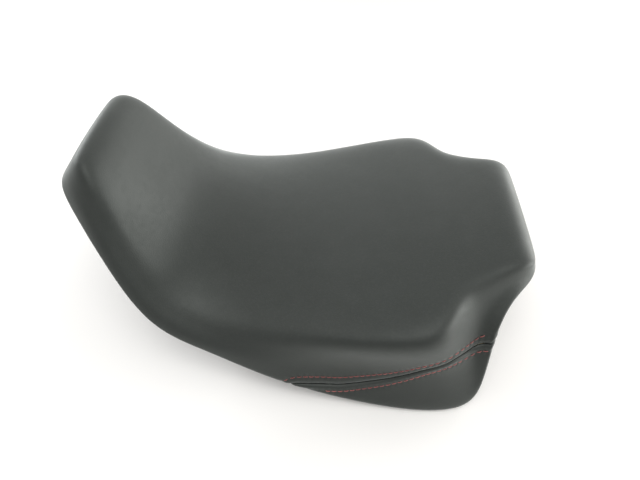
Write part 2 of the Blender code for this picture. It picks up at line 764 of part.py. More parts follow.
def thin_the_tip(tongue):
    """Takes a step off both faces of the tongue's front end, which slides into its slot."""
    length, width, thickness = TONGUE_SIZE
    middle = TONGUE_BACK - length / 2 + TONGUE_TIP / 2 - OVERRUN / 2
    size = (TONGUE_TIP + OVERRUN, width + OVERRUN, OVERRUN)
    lower = TONGUE_TOP - thickness + TONGUE_TIP_STEP - OVERRUN
    for name, bottom in (("tip_over", TONGUE_TOP - TONGUE_TIP_STEP), ("tip_under", lower)):
        boolean(tongue, add_cutter(name, bench_box(name, size, middle, 0.0, bottom)), "DIFFERENCE")


def build_plates():
    clearance = SHANK_RADIUS + GAP
    tongue = plate("front_tongue", TONGUE_SIZE, TONGUE_BACK, TONGUE_TOP, TONGUE_SCREWS, [clearance] * 2)
    thin_the_tip(tongue)
    holes = BRACKET_SCREWS + LUGS
    radii = [clearance] * len(BRACKET_SCREWS) + [LUG_HOLE_RADIUS] * len(LUGS)
    plate("rear_bracket", BRACKET_SIZE, BRACKET_BACK, BRACKET_TOP, holes, radii)


def build_lugs():
    """A rubber grommet in each lug of the rear bracket, with a steel collar for the bolt."""
    under_plate = -BRACKET_SIZE[2] - GAP
    neck = LUG_HOLE_RADIUS - GAP
    lip = LUG_HOLE_RADIUS + GROMMET_LIP
    bore = COLLAR_RADIUS + GAP
    rubber = (
        (lip, GROMMET_LIP_HEIGHT), (lip, GAP), (neck, GAP), (neck, under_plate), (lip, under_plate),
        (lip, under_plate - GROMMET_LIP_HEIGHT), (bore, under_plate - GROMMET_LIP_HEIGHT),
        (bore, GROMMET_LIP_HEIGHT),
    )
    steel = (
        (COLLAR_RADIUS, COLLAR_LIFT), (COLLAR_RADIUS, under_plate - COLLAR_LIFT),
        (BOLT_HOLE_RADIUS, under_plate - COLLAR_LIFT), (BOLT_HOLE_RADIUS, COLLAR_LIFT),
    )
    for i, lug in enumerate(LUGS):
        for name, profile, finish in (("lug_grommet_", rubber, RUBBER), ("lug_collar_", steel, ZINC)):
            ring = turned_object(name + str(i + 1), profile, finish, 16)
            ring.location = place(lug[0], lug[1], 0.0)
            ring.location.z = BRACKET_TOP * MM


def build_tank_pad(pan_top):
    """A soft strip stuck under the nose, where the seat leans on the tank."""
    outer = offset_surface(pan_top, PAN_THICKNESS + GAP)
    inner = offset_surface(pan_top, PAN_THICKNESS + GAP + PAD_THICKNESS)
    pad = add_object("tank_edge_pad", closed_between("pad", outer, inner), RUBBER)
    low, height = PAD_BLANK
    keep = bench_box("keep_pad", (PAD_SPAN, PAD_WIDTH, height), PAD_BACK, 0.0, low)
    boolean(pad, add_cutter("keep_pad", keep), "INTERSECT", crossing=True)


def build_seat():
    grid, crown_rim, skirt_rim, upward, outward = skin_cage()
    pan_grid, pan_crown, pan_foot = pan_rims(grid, skirt_rim, upward, outward)
    pan_walls = wall_loops(pan_crown, pan_foot, PAN_WALL_HEIGHT)
    hem = hem_loops(pan_walls)
    skin = smooth_surface("skin_shape", grid, wall_loops(crown_rim, skirt_rim) + hem)
    tree = BVHTree.FromPolygons(
        [vertex.co for vertex in skin.vertices], [polygon.vertices[:] for polygon in skin.polygons]
    )
    pan_loops = pan_walls + straight_below(pan_walls)
    pan_top = without_band(smooth_surface("pan_shape", pan_grid, pan_loops), BELOW_THE_FOOT)
    build_cover(skin)
    build_seams(tree)
    build_foam(skin, pan_top)
    build_pan(pan_top)
    build_tank_pad(pan_top)
    build_plates()
    build_screws()
    build_lugs()
    build_buffers()
    build_staples(tree, hem)


clear_scene()
PARTS = collection_named("motorcycle_seat")
CUTTERS = collection_named("cutters")
VINYL = material("vinyl", (0.06, 0.065, 0.063), 0.5)
THREAD = material("thread", (0.2, 0.05, 0.05), 0.8)
WEBBING = material("webbing", (0.03, 0.03, 0.03), 0.9)
FOAM = material("foam", (0.55, 0.5, 0.36), 0.95)
PLASTIC = material("plastic", (0.02, 0.02, 0.022), 0.6)
RUBBER = material("rubber", (0.015, 0.015, 0.015), 0.8)
STEEL = material("steel", (0.5, 0.5, 0.5), 0.35, 1.0)
ZINC = material("zinc_plated_steel", (0.55, 0.54, 0.5), 0.4, 1.0)
build_seat()
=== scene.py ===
# %% [markdown]
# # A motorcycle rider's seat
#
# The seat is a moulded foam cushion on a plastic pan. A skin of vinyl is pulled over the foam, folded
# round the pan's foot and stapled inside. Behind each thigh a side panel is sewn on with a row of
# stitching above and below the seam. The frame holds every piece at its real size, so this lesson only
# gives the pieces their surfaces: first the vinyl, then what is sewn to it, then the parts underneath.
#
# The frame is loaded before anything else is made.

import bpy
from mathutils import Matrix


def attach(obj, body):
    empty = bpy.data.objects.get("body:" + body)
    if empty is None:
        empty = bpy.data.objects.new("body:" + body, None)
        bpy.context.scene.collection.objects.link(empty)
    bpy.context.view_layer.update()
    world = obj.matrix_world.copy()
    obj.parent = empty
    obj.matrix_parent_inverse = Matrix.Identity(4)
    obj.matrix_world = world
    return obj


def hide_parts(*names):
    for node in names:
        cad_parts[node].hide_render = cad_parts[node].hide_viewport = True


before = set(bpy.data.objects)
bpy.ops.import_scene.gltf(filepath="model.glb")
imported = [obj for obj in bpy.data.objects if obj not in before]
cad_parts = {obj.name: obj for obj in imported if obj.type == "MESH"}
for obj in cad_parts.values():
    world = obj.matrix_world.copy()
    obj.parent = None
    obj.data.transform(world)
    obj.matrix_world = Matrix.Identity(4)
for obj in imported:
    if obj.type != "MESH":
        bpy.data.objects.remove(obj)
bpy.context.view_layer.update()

# %% [markdown]
# The frame is in metres, and the parts of a seat are easier to think of in millimetres. So lengths are
# written as a number times MM, or listed in millimetres where a comment says so.

# %% The modules and the unit
import math

import bmesh
import bpy
import numpy as np
from mathutils import Matrix, Vector
from mathutils.bvhtree import BVHTree

MM = 0.001
scene = bpy.context.scene

# %% [markdown]
# ## The camera
#
# The camera stands beside the seat and looks down at it, from as near as someone who stands over a
# table. It is made first, so that every later step can be judged from there. Its direction could be set
# with three angles; here it is set as a vector from a dip and a turn, which are easier to picture.

# %% Camera
CAMERA_PLACE = (-0.0334, 0.397, 0.4928)
CAMERA_DIP = math.radians(47.83)
CAMERA_TURN = math.radians(3.6)
CAMERA_LENS = 27.0

bpy.ops.object.camera_add(location=CAMERA_PLACE)
camera = bpy.context.object
camera.name = "camera"
camera.data.lens = CAMERA_LENS
camera.data.clip_start = 0.01
gaze = Vector((
    math.sin(CAMERA_TURN) * math.cos(CAMERA_DIP),
    -math.cos(CAMERA_TURN) * math.cos(CAMERA_DIP),
    -math.sin(CAMERA_DIP),
))
camera.rotation_euler = gaze.to_track_quat("-Z", "Y").to_euler()
scene.camera = camera
print("camera at", CAMERA_PLACE)

# %% [markdown]
# ## The light
#
# Matt vinyl shows the room more than its own colour. A plain white world would make it one flat grey.
# This room is bright near the floor, as over a sheet of white paper, and darker overhead and behind the
# viewer, so the rims of the seat shine while its flat middle stays dark. The strength depends only on
# the direction in the room, so it doesn't move when the seat is seen from another side.

# %% The room
ROOM_NEAR_FLOOR = 1.35
ROOM_OVERHEAD = 0.66
ROOM_BEHIND_VIEWER = 0.45
ROOM_WHITE = (1.0, 0.995, 0.985, 1.0)
LOW_TO_HIGH = (0.15, 0.80)
AWAY_TO_BEHIND = (-0.2, 0.8)

room = bpy.data.worlds.new("white_room")
room.use_nodes = True
room_tree = room.node_tree
room_direction = room_tree.nodes.new("ShaderNodeTexCoord")
room_axes = room_tree.nodes.new("ShaderNodeSeparateXYZ")
room_tree.links.new(room_direction.outputs["Generated"], room_axes.inputs[0])


def room_share(axis, between, at_low, at_high):
    """How strong the room's light is, by its direction along one axis."""
    share = room_tree.nodes.new("ShaderNodeMapRange")
    share.interpolation_type = "SMOOTHSTEP"
    values = (("From Min", between[0]), ("From Max", between[1]), ("To Min", at_low), ("To Max", at_high))
    for label, number in values:
        share.inputs[label].default_value = number
    room_tree.links.new(room_axes.outputs[axis], share.inputs["Value"])
    return share.outputs["Result"]


strength = room_tree.nodes.new("ShaderNodeMath")
strength.operation = "MULTIPLY"
room_tree.links.new(room_share("Z", LOW_TO_HIGH, ROOM_NEAR_FLOOR, ROOM_OVERHEAD), strength.inputs[0])
room_tree.links.new(room_share("Y", AWAY_TO_BEHIND, 1.0, ROOM_BEHIND_VIEWER), strength.inputs[1])
room_tree.nodes["Background"].inputs["Color"].default_value = ROOM_WHITE
room_tree.links.new(strength.outputs[0], room_tree.nodes["Background"].inputs["Strength"])
scene.world = room
scene.view_settings.view_transform = "Standard"
print("room light from", ROOM_OVERHEAD, "overhead to", ROOM_NEAR_FLOOR, "near the floor")

# %% [markdown]
# Four large lamps add what the room alone can't: a soft light from above, a cooler one that grazes the
# nose, and two low ones that draw the tail's rim and its corner. A small lamp would give hard
# highlights, which this skin never shows.

# %% Lamps
WARM_WHITE = (1.0, 0.99, 0.97)
TAIL_END = (-0.15, 0.0, 0.10)
# Name, place, what it faces, side of the square in metres, power in watts, colour.
LAMPS = (
    ("ceiling_light", (-0.10, 0.55, 1.5), (0.0, 0.0, 0.08), 1.0, 9.0, (1.0, 0.995, 0.98)),
    ("nose_side_light", (1.10, -0.50, 0.62), (0.15, 0.0, 0.15), 0.7, 8.0, (0.97, 0.985, 1.0)),
    ("tail_side_light", (-1.05, -0.60, 0.25), TAIL_END, 0.7, 6.5, WARM_WHITE),
    ("corner_light", (-1.15, 0.20, 0.28), TAIL_END, 0.6, 6.0, WARM_WHITE),
)


def soft_lamp(name, place, target, size, energy, colour):
    """A square lamp that faces its target."""
    bpy.ops.object.light_add(type="AREA", location=place)
    lamp = bpy.context.object
    lamp.name = name
    lamp.data.size = size
    lamp.data.energy = energy
    lamp.data.color = colour
    lamp.rotation_euler = (Vector(target) - Vector(place)).to_track_quat("-Z", "Y").to_euler()


for lamp_values in LAMPS:
    soft_lamp(*lamp_values)
print("lamps:", len(LAMPS))

# %% [markdown]
# The floor is plain white paper, nearly without gloss.

# %% Floor
FLOOR_WIDTH = 6.0
PAPER_WHITE = (0.94, 0.93, 0.915, 1.0)

bpy.ops.mesh.primitive_plane_add(size=FLOOR_WIDTH)
floor = bpy.context.object
floor.name = "studio_floor"
paper = bpy.data.materials.new("floor_paper")
paper.use_nodes = True
paper_look = paper.node_tree.nodes["Principled BSDF"]
paper_look.inputs["Base Color"].default_value = PAPER_WHITE
paper_look.inputs["Roughness"].default_value = 0.8
paper_look.inputs["Specular IOR Level"].default_value = 0.1
floor.data.materials.append(paper)
print("floor", FLOOR_WIDTH, "m")

# %% [markdown]
# ## Shared effects
#
# Real surfaces are never one flat value. The effects that several finishes need are node groups that
# are built once: a fine embossed grain, soft stains of colour, and dust that settles on what faces up.
# Each group puts out only masks and heights, and each material decides what to do with them.

# %% Node helpers


def new_group(name, inputs, outputs):
    """A shader node group with float sockets, and its input and output nodes."""
    tree = bpy.data.node_groups.new(name, "ShaderNodeTree")
    for label, value in inputs:
        socket = tree.interface.new_socket(label, in_out="INPUT", socket_type="NodeSocketFloat")
        socket.default_value = value
    for label in outputs:
        tree.interface.new_socket(label, in_out="OUTPUT", socket_type="NodeSocketFloat")
    return tree, tree.nodes.new("NodeGroupInput"), tree.nodes.new("NodeGroupOutput")


def calculate(tree, operation, first, second=None, third=None):
    """A math node. Each value is a socket or a number."""
    node = tree.nodes.new("ShaderNodeMath")
    node.operation = operation
    for slot, value in zip(node.inputs, (first, second, third)):
        if value is None:
            continue
        if isinstance(value, (int, float)):
            slot.default_value = value
        else:
            tree.links.new(value, slot)
    return node.outputs[0]


def object_place(tree, spread=(1.0, 1.0, 1.0)):
    """Object coordinates, stretched per axis."""
    place = tree.nodes.new("ShaderNodeTexCoord")
    mapping = tree.nodes.new("ShaderNodeMapping")
    mapping.inputs["Scale"].default_value = spread
    tree.links.new(place.outputs["Object"], mapping.inputs["Vector"])
    return mapping.outputs["Vector"]


def noise_at(tree, vector, scale, detail=2.0, rough=0.5):
    """The value of a noise texture; scale may be a socket."""
    node = tree.nodes.new("ShaderNodeTexNoise")
    node.inputs["Detail"].default_value = detail
    node.inputs["Roughness"].default_value = rough
    if isinstance(scale, (int, float)):
        node.inputs["Scale"].default_value = scale
    else:
        tree.links.new(scale, node.inputs["Scale"])
    tree.links.new(vector, node.inputs["Vector"])
    return node.outputs["Fac"]


def remap(tree, value, low, high, out_low, out_high):
    """Takes low..high to out_low..out_high, and no further."""
    node = tree.nodes.new("ShaderNodeMapRange")
    node.interpolation_type = "SMOOTHSTEP"
    for label, number in (("From Min", low), ("From Max", high), ("To Min", out_low), ("To Max", out_high)):
        node.inputs[label].default_value = number
    tree.links.new(value, node.inputs["Value"])
    return node.outputs["Result"]


def blend_colours(tree, mask, first, second):
    """A mix of two colours; each is a socket or four numbers."""
    node = tree.nodes.new("ShaderNodeMix")
    node.data_type = "RGBA"
    tree.links.new(mask, node.inputs["Factor"])
    for slot, value in ((node.inputs[6], first), (node.inputs[7], second)):
        if isinstance(value, tuple):
            slot.default_value = value
        else:
            tree.links.new(value, slot)
    return node.outputs[2]


# %% Embossed grain
# Pores of an embossed skin: rounded cells with narrow valleys between them.
grain_tree, grain_in, grain_out = new_group("embossed_grain", [("Cells per metre", 1000.0)], ["Height"])
cells = grain_tree.nodes.new("ShaderNodeTexVoronoi")
cells.feature = "SMOOTH_F1"
cells.inputs["Smoothness"].default_value = 0.35
grain_place = object_place(grain_tree)
grain_tree.links.new(grain_place, cells.inputs["Vector"])
grain_tree.links.new(grain_in.outputs["Cells per metre"], cells.inputs["Scale"])
pebbles = calculate(grain_tree, "SUBTRACT", 1.0, cells.outputs["Distance"])
fine = noise_at(grain_tree, grain_place, calculate(grain_tree, "MULTIPLY", grain_in.outputs[0], 2.3))
grain_tree.links.new(calculate(grain_tree, "MULTIPLY_ADD", fine, 0.35, pebbles), grain_out.inputs[0])
print("effect:", grain_tree.name)

# %% Soft stains
# Wide soft clouds and smaller ones together, from 0 to 1.
stain_tree, stain_in, stain_out = new_group("soft_stains", [("Clouds per metre", 8.0)], ["Amount"])
stain_place = object_place(stain_tree, (1.0, 1.0, 1.6))
wide = noise_at(stain_tree, stain_place, stain_in.outputs[0], 3.0)
small_scale = calculate(stain_tree, "MULTIPLY", stain_in.outputs[0], 9.0)
small = noise_at(stain_tree, stain_place, small_scale, 4.0)
both = calculate(stain_tree, "MULTIPLY_ADD", small, 0.4, calculate(stain_tree, "MULTIPLY", wide, 0.6))
stain_tree.links.new(remap(stain_tree, both, 0.38, 0.62, 0.0, 1.0), stain_out.inputs[0])
print("effect:", stain_tree.name)

# %% Settled dust
# Where the surface faces up, broken by fine noise.
dust_tree, dust_in, dust_out = new_group("settled_dust", [("Amount", 0.2)], ["Mask"])
facing = dust_tree.nodes.new("ShaderNodeNewGeometry")
upright = dust_tree.nodes.new("ShaderNodeSeparateXYZ")
dust_tree.links.new(facing.outputs["Normal"], upright.inputs[0])
level = remap(dust_tree, upright.outputs["Z"], 0.2, 1.0, 0.0, 1.0)
fine_noise = noise_at(dust_tree, object_place(dust_tree), 420.0, 6.0, 0.65)
specks = remap(dust_tree, fine_noise, 0.42, 0.75, 0.0, 1.0)
speckled = calculate(dust_tree, "MULTIPLY", level, specks)
dusty = calculate(dust_tree, "MULTIPLY", speckled, dust_in.outputs[0])
dust_tree.links.new(dusty, dust_out.inputs[0])
print("effect:", dust_tree.name)

# %% Worn edges
# Bright where an edge sticks out, from 0 to 1.
wear_tree, wear_in, wear_out = new_group("worn_edges", [("Sharpness", 1.0)], ["Mask"])
edges_out = wear_tree.nodes.new("ShaderNodeNewGeometry")
proud = remap(wear_tree, edges_out.outputs["Pointiness"], 0.51, 0.60, 0.0, 1.0)
broken = noise_at(wear_tree, object_place(wear_tree), 260.0, 4.0, 0.6)
worn = calculate(wear_tree, "MULTIPLY", proud, remap(wear_tree, broken, 0.35, 0.6, 0.2, 1.0))
wear_tree.links.new(calculate(wear_tree, "MULTIPLY", worn, wear_in.outputs[0]), wear_out.inputs[0])
print("effect:", wear_tree.name)

# %% [markdown]
# ## Finishes
#
# A finish is one Principled shader with the shared effects plugged into colour, roughness and bump.
# The helper below makes the plain shader and hands back its tree; each finish adds only what is its own.

# %% A plain shader to start from


def start_finish(name, colour, roughness, metallic=0.0, **constants):
    """(material, tree, shader) with the constant values set on the shader's own sockets."""
    finish = bpy.data.materials.new(name)
    finish.use_nodes = True
    tree = finish.node_tree
    shader = tree.nodes["Principled BSDF"]
    shader.inputs["Base Color"].default_value = (*colour, 1.0)
    shader.inputs["Roughness"].default_value = roughness
    shader.inputs["Metallic"].default_value = metallic
    for label, value in constants.items():
        shader.inputs[label.replace("_", " ")].default_value = value
    return finish, tree, shader


def use_group(tree, name, **values):
    """A shared effect placed in a material; returns its first output."""
    node = tree.nodes.new("ShaderNodeGroup")
    node.node_tree = bpy.data.node_groups[name]
    for label, value in values.items():
        node.inputs[label.replace("_", " ")].default_value = value
    return node.outputs[0]


def add_bump(tree, shader, height, distance, strength=1.0, under=None):
    """A bump on the shader's normal, on top of another bump if one is given."""
    bump = tree.nodes.new("ShaderNodeBump")
    bump.inputs["Distance"].default_value = distance
    bump.inputs["Strength"].default_value = strength
    tree.links.new(height, bump.inputs["Height"])
    if under is not None:
        tree.links.new(under, bump.inputs["Normal"])
    tree.links.new(bump.outputs["Normal"], shader.inputs["Normal"])
    return bump.outputs["Normal"]


# %% [markdown]
# ### Vinyl
#
# The skin is a matt black automotive vinyl with a fine grain. Under a white sky it looks dark grey, and
# lighter where one looks along it, which a little sheen gives. Close to the seam the skin is doubled and
# pulled down by each stitch. The cover's own attributes say how far a point is from the seam, and how
# far along it, so the puckers follow the sewing wherever it goes.

# %% Vinyl
STITCH_PITCH = 6.0 * MM
STITCH_ROW = 6.5 * MM
VINYL_DARK = (0.0165, 0.0190, 0.0172, 1.0)
VINYL_LIGHT = (0.0205, 0.0230, 0.0212, 1.0)
DUST_COLOUR = (0.30, 0.29, 0.27, 1.0)
VINYL_GRAIN_DEPTH = 0.06 * MM
PUCKER_DEPTH = 0.22 * MM
PUCKER_REACH = 4.5 * MM


def attribute(tree, name):
    """The value that the piece carries under this name."""
    node = tree.nodes.new("ShaderNodeAttribute")
    node.attribute_name = name
    return node.outputs["Fac"]


def make_vinyl(name):
    """The seat's skin: grain, soft stains, dust, patches of shine, and puckers beside the seam."""
    finish, tree, shader = start_finish(
        name, VINYL_DARK[:3], 0.5, Sheen_Weight=0.35, Sheen_Roughness=0.45, IOR=1.5,
    )
    shader.inputs["Sheen Tint"].default_value = (0.93, 1.0, 0.97, 1.0)
    shader.inputs["Specular Tint"].default_value = (0.94, 1.0, 0.96, 1.0)
    stains = use_group(tree, "soft_stains", Clouds_per_metre=6.0)
    colour = blend_colours(tree, stains, VINYL_DARK, VINYL_LIGHT)
    dust = use_group(tree, "settled_dust", Amount=0.025)
    tree.links.new(blend_colours(tree, dust, colour, DUST_COLOUR), shader.inputs["Base Color"])
    handled = use_group(tree, "soft_stains", Clouds_per_metre=16.0)
    tree.links.new(remap(tree, handled, 0.0, 1.0, 0.44, 0.50), shader.inputs["Roughness"])
    grain = use_group(tree, "embossed_grain", Cells_per_metre=950.0)
    under = add_bump(tree, shader, grain, VINYL_GRAIN_DEPTH, 0.8)
    distance = calculate(tree, "ABSOLUTE", attribute(tree, "seam_distance"))
    beside_row = calculate(tree, "SUBTRACT", distance, STITCH_ROW)
    nearness = remap(tree, calculate(tree, "ABSOLUTE", beside_row), 0.0, PUCKER_REACH, 1.0, 0.0)
    phase = calculate(tree, "MULTIPLY", attribute(tree, "seam_run"), 2.0 * math.pi / STITCH_PITCH)
    pucker = calculate(tree, "MULTIPLY", calculate(tree, "SINE", phase), nearness)
    add_bump(tree, shader, pucker, PUCKER_DEPTH, 1.0, under)
    return finish


vinyl = make_vinyl("vinyl_skin")
print("finish", vinyl.name)

# %% [markdown]
# ### Thread, webbing and foam
#
# The thread is a bonded polyester in dull red. Its twist is a fine slanted stripe that only the bump
# shows. The webbing tapes that back the seam are woven, so their bump is two crossed waves. The foam is
# an open sponge with a thin moulded skin, which is a field of small pores.

# %% Thread


def striped(tree, direction, per_metre):
    """A wave across the piece, along a direction of Object coordinates."""
    wave = tree.nodes.new("ShaderNodeTexWave")
    wave.bands_direction = direction
    wave.inputs["Scale"].default_value = per_metre
    tree.links.new(object_place(tree), wave.inputs["Vector"])
    return wave.outputs["Fac"]


thread_finish, tree, shader = start_finish("red_thread", (0.30, 0.065, 0.06), 0.6, Sheen_Weight=0.3)
faded = use_group(tree, "soft_stains", Clouds_per_metre=35.0)
mixed = blend_colours(tree, faded, (0.24, 0.05, 0.046, 1.0), (0.38, 0.10, 0.09, 1.0))
tree.links.new(mixed, shader.inputs["Base Color"])
add_bump(tree, shader, striped(tree, "DIAGONAL", 420.0), 0.1 * MM)
print("finish", thread_finish.name)

# %% Webbing
webbing_finish, tree, shader = start_finish("seam_webbing", (0.05, 0.05, 0.052), 0.85, Sheen_Weight=0.2)
weave = calculate(tree, "MULTIPLY", striped(tree, "X", 260.0), striped(tree, "Z", 260.0))
mixed = blend_colours(tree, weave, (0.02, 0.02, 0.02, 1.0), (0.09, 0.09, 0.092, 1.0))
tree.links.new(mixed, shader.inputs["Base Color"])
add_bump(tree, shader, weave, 0.3 * MM)
print("finish", webbing_finish.name)

# %% Foam
foam_finish, tree, shader = start_finish("moulded_foam", (0.62, 0.56, 0.42), 0.95)
shade = use_group(tree, "soft_stains", Clouds_per_metre=14.0)
mixed = blend_colours(tree, shade, (0.55, 0.47, 0.30, 1.0), (0.70, 0.64, 0.48, 1.0))
tree.links.new(mixed, shader.inputs["Base Color"])
add_bump(tree, shader, use_group(tree, "embossed_grain", Cells_per_metre=620.0), 0.5 * MM)
print("finish", foam_finish.name)

# %% [markdown]
# ### Plastic, rubber and metal
#
# The pan is black polypropylene with a spark-eroded texture and paler flow marks near its ribs. Rubber
# is duller and collects dust. The tongue and the bracket are painted steel that is scuffed where they
# slide on the frame; screws, collars and staples are zinc plated, with a fine mottle and bright edges.

# %% Hard finishes


def make_hard(
    name, dark, light, roughness, metallic, texture, depth, dust_amount, edge_colour, edge_amount,
):
    """A moulded or plated surface: stains, dust, a fine texture and rubbed edges."""
    finish, tree, shader = start_finish(name, dark, roughness[0], metallic)
    stains = use_group(tree, "soft_stains", Clouds_per_metre=30.0)
    colour = blend_colours(tree, stains, (*dark, 1.0), (*light, 1.0))
    rubbed = use_group(tree, "worn_edges", Sharpness=edge_amount)
    colour = blend_colours(tree, rubbed, colour, (*edge_colour, 1.0))
    dust = use_group(tree, "settled_dust", Amount=dust_amount)
    tree.links.new(blend_colours(tree, dust, colour, DUST_COLOUR), shader.inputs["Base Color"])
    uneven = use_group(tree, "soft_stains", Clouds_per_metre=70.0)
    tree.links.new(remap(tree, uneven, 0.0, 1.0, *roughness), shader.inputs["Roughness"])
    add_bump(tree, shader, use_group(tree, "embossed_grain", Cells_per_metre=texture), depth)
    return finish


plastic_finish = make_hard(
    "moulded_plastic", dark=(0.018, 0.018, 0.019), light=(0.034, 0.034, 0.036), roughness=(0.42, 0.62),
    metallic=0.0, texture=1500.0, depth=0.05 * MM, dust_amount=0.25, edge_colour=(0.12, 0.12, 0.12),
    edge_amount=0.6,
)
rubber_finish = make_hard(
    "buffer_rubber", dark=(0.014, 0.014, 0.014), light=(0.028, 0.027, 0.026), roughness=(0.65, 0.85),
    metallic=0.0, texture=2200.0, depth=0.04 * MM, dust_amount=0.35, edge_colour=(0.06, 0.06, 0.06),
    edge_amount=0.4,
)
steel_finish = make_hard(
    "painted_steel", dark=(0.016, 0.016, 0.017), light=(0.03, 0.03, 0.032), roughness=(0.28, 0.45),
    metallic=0.0, texture=900.0, depth=0.03 * MM, dust_amount=0.12, edge_colour=(0.42, 0.42, 0.43),
    edge_amount=0.9,
)
zinc_finish = make_hard(
    "zinc_plating", dark=(0.48, 0.48, 0.46), light=(0.66, 0.65, 0.60), roughness=(0.28, 0.48),
    metallic=1.0, texture=1300.0, depth=0.02 * MM, dust_amount=0.05, edge_colour=(0.85, 0.85, 0.84),
    edge_amount=0.6,
)
print("finishes:", len(bpy.data.materials))

# %% [markdown]
# ## The skin's shape
#
# The skin is one smooth surface, so it is drawn as a coarse cage for half of the seat, which is
# mirrored and subdivided. Fourteen cross-sections from nose to tail give the centre line, the crown edge
# where the top rolls over, and the skirt edge at the bottom. Positions are measured as on a bench:
# back from the nose, sideways from the centre line, and up from the table.

# %% Cross-sections from nose to tail
# Each is centre (back, up), crown edge (back, side, up) and skirt edge (back, side, up), in millimetres,
# how soft the roll at the crown edge is, from 0 for a firm edge to 1, and how far the wall is hollowed.
SECTIONS = (
    ((-17, 212), (-17, 58, 208), (-38, 67, 184), 1.0, 0),
    ((2, 206), (2, 72, 201), (-25, 84, 165), 1.0, -4),
    ((28, 155), (28, 90, 142), (8, 119, 118), 1.0, -7),
    ((60, 107), (60, 115, 86), (44, 148, 60), 1.0, -7),
    ((110, 86), (112, 132, 69), (104, 159, 42), 1.0, -6),
    ((176, 82), (176, 145, 71), (168, 176, 20), 1.0, -3),
    ((240, 87), (240, 162, 79), (238, 185, 4), 0.6, 15),
    ((296, 98), (298, 169, 91), (304, 191, -4), 0.6, 17),
    ((330, 106), (336, 165, 100), (356, 190, -5), 0.6, 12),
    ((352, 109), (354, 125, 106), (391, 175, -5), 0.7, 8),
    ((372, 113), (370, 104, 110), (388, 145, 64), 0.8, 6),
    ((396, 118), (394, 90, 115), (408, 112, 92), 1.0, 5),
    ((418, 125), (418, 85, 121), (427, 94, 95), 1.0, 3),
    ((433, 118), (433, 78, 115), (439, 74, 99), 1.0, 0),
)
# How the top domes from the centre out to the crown edge: (share of the width, share of the height),
# and how far a soft roll moves each of the two values.
DOME = (((0.4, 0.9), (-0.04, 0.0)), ((0.78, 0.5), (-0.12, 0.10)))
# The wall from crown to skirt: (share of the way down, how hollow it is there, what softness adds to the
# share).
WALL = ((0.20, 0.55, 0.18), (0.55, 1.0, 0.07), (0.86, 0.45, 0.0), (1.0, 0.0, 0.0))
SKIN_THICKNESS = 1.2
# The skin's edge turns in below the pan's foot and lies up along its inner face: (inward, up) from the
# skirt edge. It stays at least this far above the table.
HEM_TURN = (12.4, 3.0)
HEM_RETURN = (12.4, 19.0)
HEM_LOWEST = 0.6
# Where the bench's zero point lies in the frame: ahead of its origin, and above the table.
BACK_OF_ORIGIN = 200.8
ABOVE_TABLE = 6.05


def bench(back, side, up):
    """A bench position in millimetres as a point of the frame, in metres."""
    return Vector((BACK_OF_ORIGIN - back, side, up + ABOVE_TABLE)) * MM


print("sections:", len(SECTIONS), "from", SECTIONS[0][0][0], "to", SECTIONS[-1][0][0], "mm back")

# %% [markdown]
# The cage has a top grid, a wall that goes down in bands from the crown edge to the skirt, and two bands
# of hem that turn in under the pan's foot. A soft section moves its points away from the crown edge, so
# the subdivided surface rolls over wide there; a firm one keeps them close to it.

# %% Points from the centre line out


def across_the_top(centre, crown, soft):
    """Cage points from the centre line out to the crown edge."""
    middle, edge = bench(centre[0], 0, centre[1]), bench(*crown)
    points = [middle]
    for (width_share, height_share), (inward, rise) in DOME:
        point = middle.lerp(edge, width_share + inward * soft)
        point.z = edge.z + (middle.z - edge.z) * (height_share + rise * soft)
        points.append(point)
    return points + [edge]


def skirt_across(skirt, soft):
    """Cage points of the skirt below one end of the seat, from the centre line out."""
    shares = [0.0] + [share + inward * soft for (share, _), (inward, _) in DOME] + [1.0]
    return [bench(skirt[0], skirt[1] * share, skirt[2]) for share in shares]


nose_top = across_the_top(SECTIONS[0][0], SECTIONS[0][1], SECTIONS[0][3])
print("points across half of the nose:", [round(point.y, 3) for point in nose_top])

# %% [markdown]
# Below the crown edge the cage is made of loops that run round the seat. Each wall loop lies a share of
# the way down. The hem's two loops need to know which way is in and which is up, all round the skirt.

# %% Loops down the wall and round the hem


def rim_frame(above, below):
    """For each rim point, the way up the wall and the way out of it."""
    upward, outward = [], []
    for i in range(len(below)):
        ahead = below[min(i + 1, len(below) - 1)] - below[max(i - 1, 0)]
        up = (above[i] - below[i]).normalized()
        upward.append(up)
        outward.append(ahead.normalized().cross(up).normalized())
    return upward, outward


def skin_loops():
    """(top grid, loops below its rim) for the left half, from the crown edge down to the hem's edge."""
    grid = [across_the_top(centre, crown, soft) for centre, crown, _, soft, _ in SECTIONS]
    crown_rim = grid[0] + [row[-1] for row in grid[1:-1]] + grid[-1][::-1]
    skirt_rim = skirt_across(*SECTIONS[0][2:4]) + [bench(*section[2]) for section in SECTIONS[1:-1]]
    skirt_rim += skirt_across(*SECTIONS[-1][2:4])[::-1]
    ends = len(grid[0])
    rim_softness = [SECTIONS[0][3]] * ends + [section[3] for section in SECTIONS[1:-1]]
    rim_softness += [SECTIONS[-1][3]] * ends
    loops = []
    for share, hollow, shift in WALL:
        loop = [
            crown.lerp(skirt, share + shift * soft)
            for crown, skirt, soft in zip(crown_rim, skirt_rim, rim_softness)
        ]
        for point, section in zip(loop[ends:-ends], SECTIONS[1:-1]):
            point.y -= section[4] * hollow * MM
        loops.append(loop)
    upward, outward = rim_frame(loops[-2], skirt_rim)
    for inward, rise in (HEM_TURN, HEM_RETURN):
        loop = [
            point - out * inward * MM + up * rise * MM
            for point, up, out in zip(skirt_rim, upward, outward)
        ]
        for point in loop:
            point.z = max(point.z, HEM_LOWEST * MM)
        loops.append(loop)
    return grid, loops


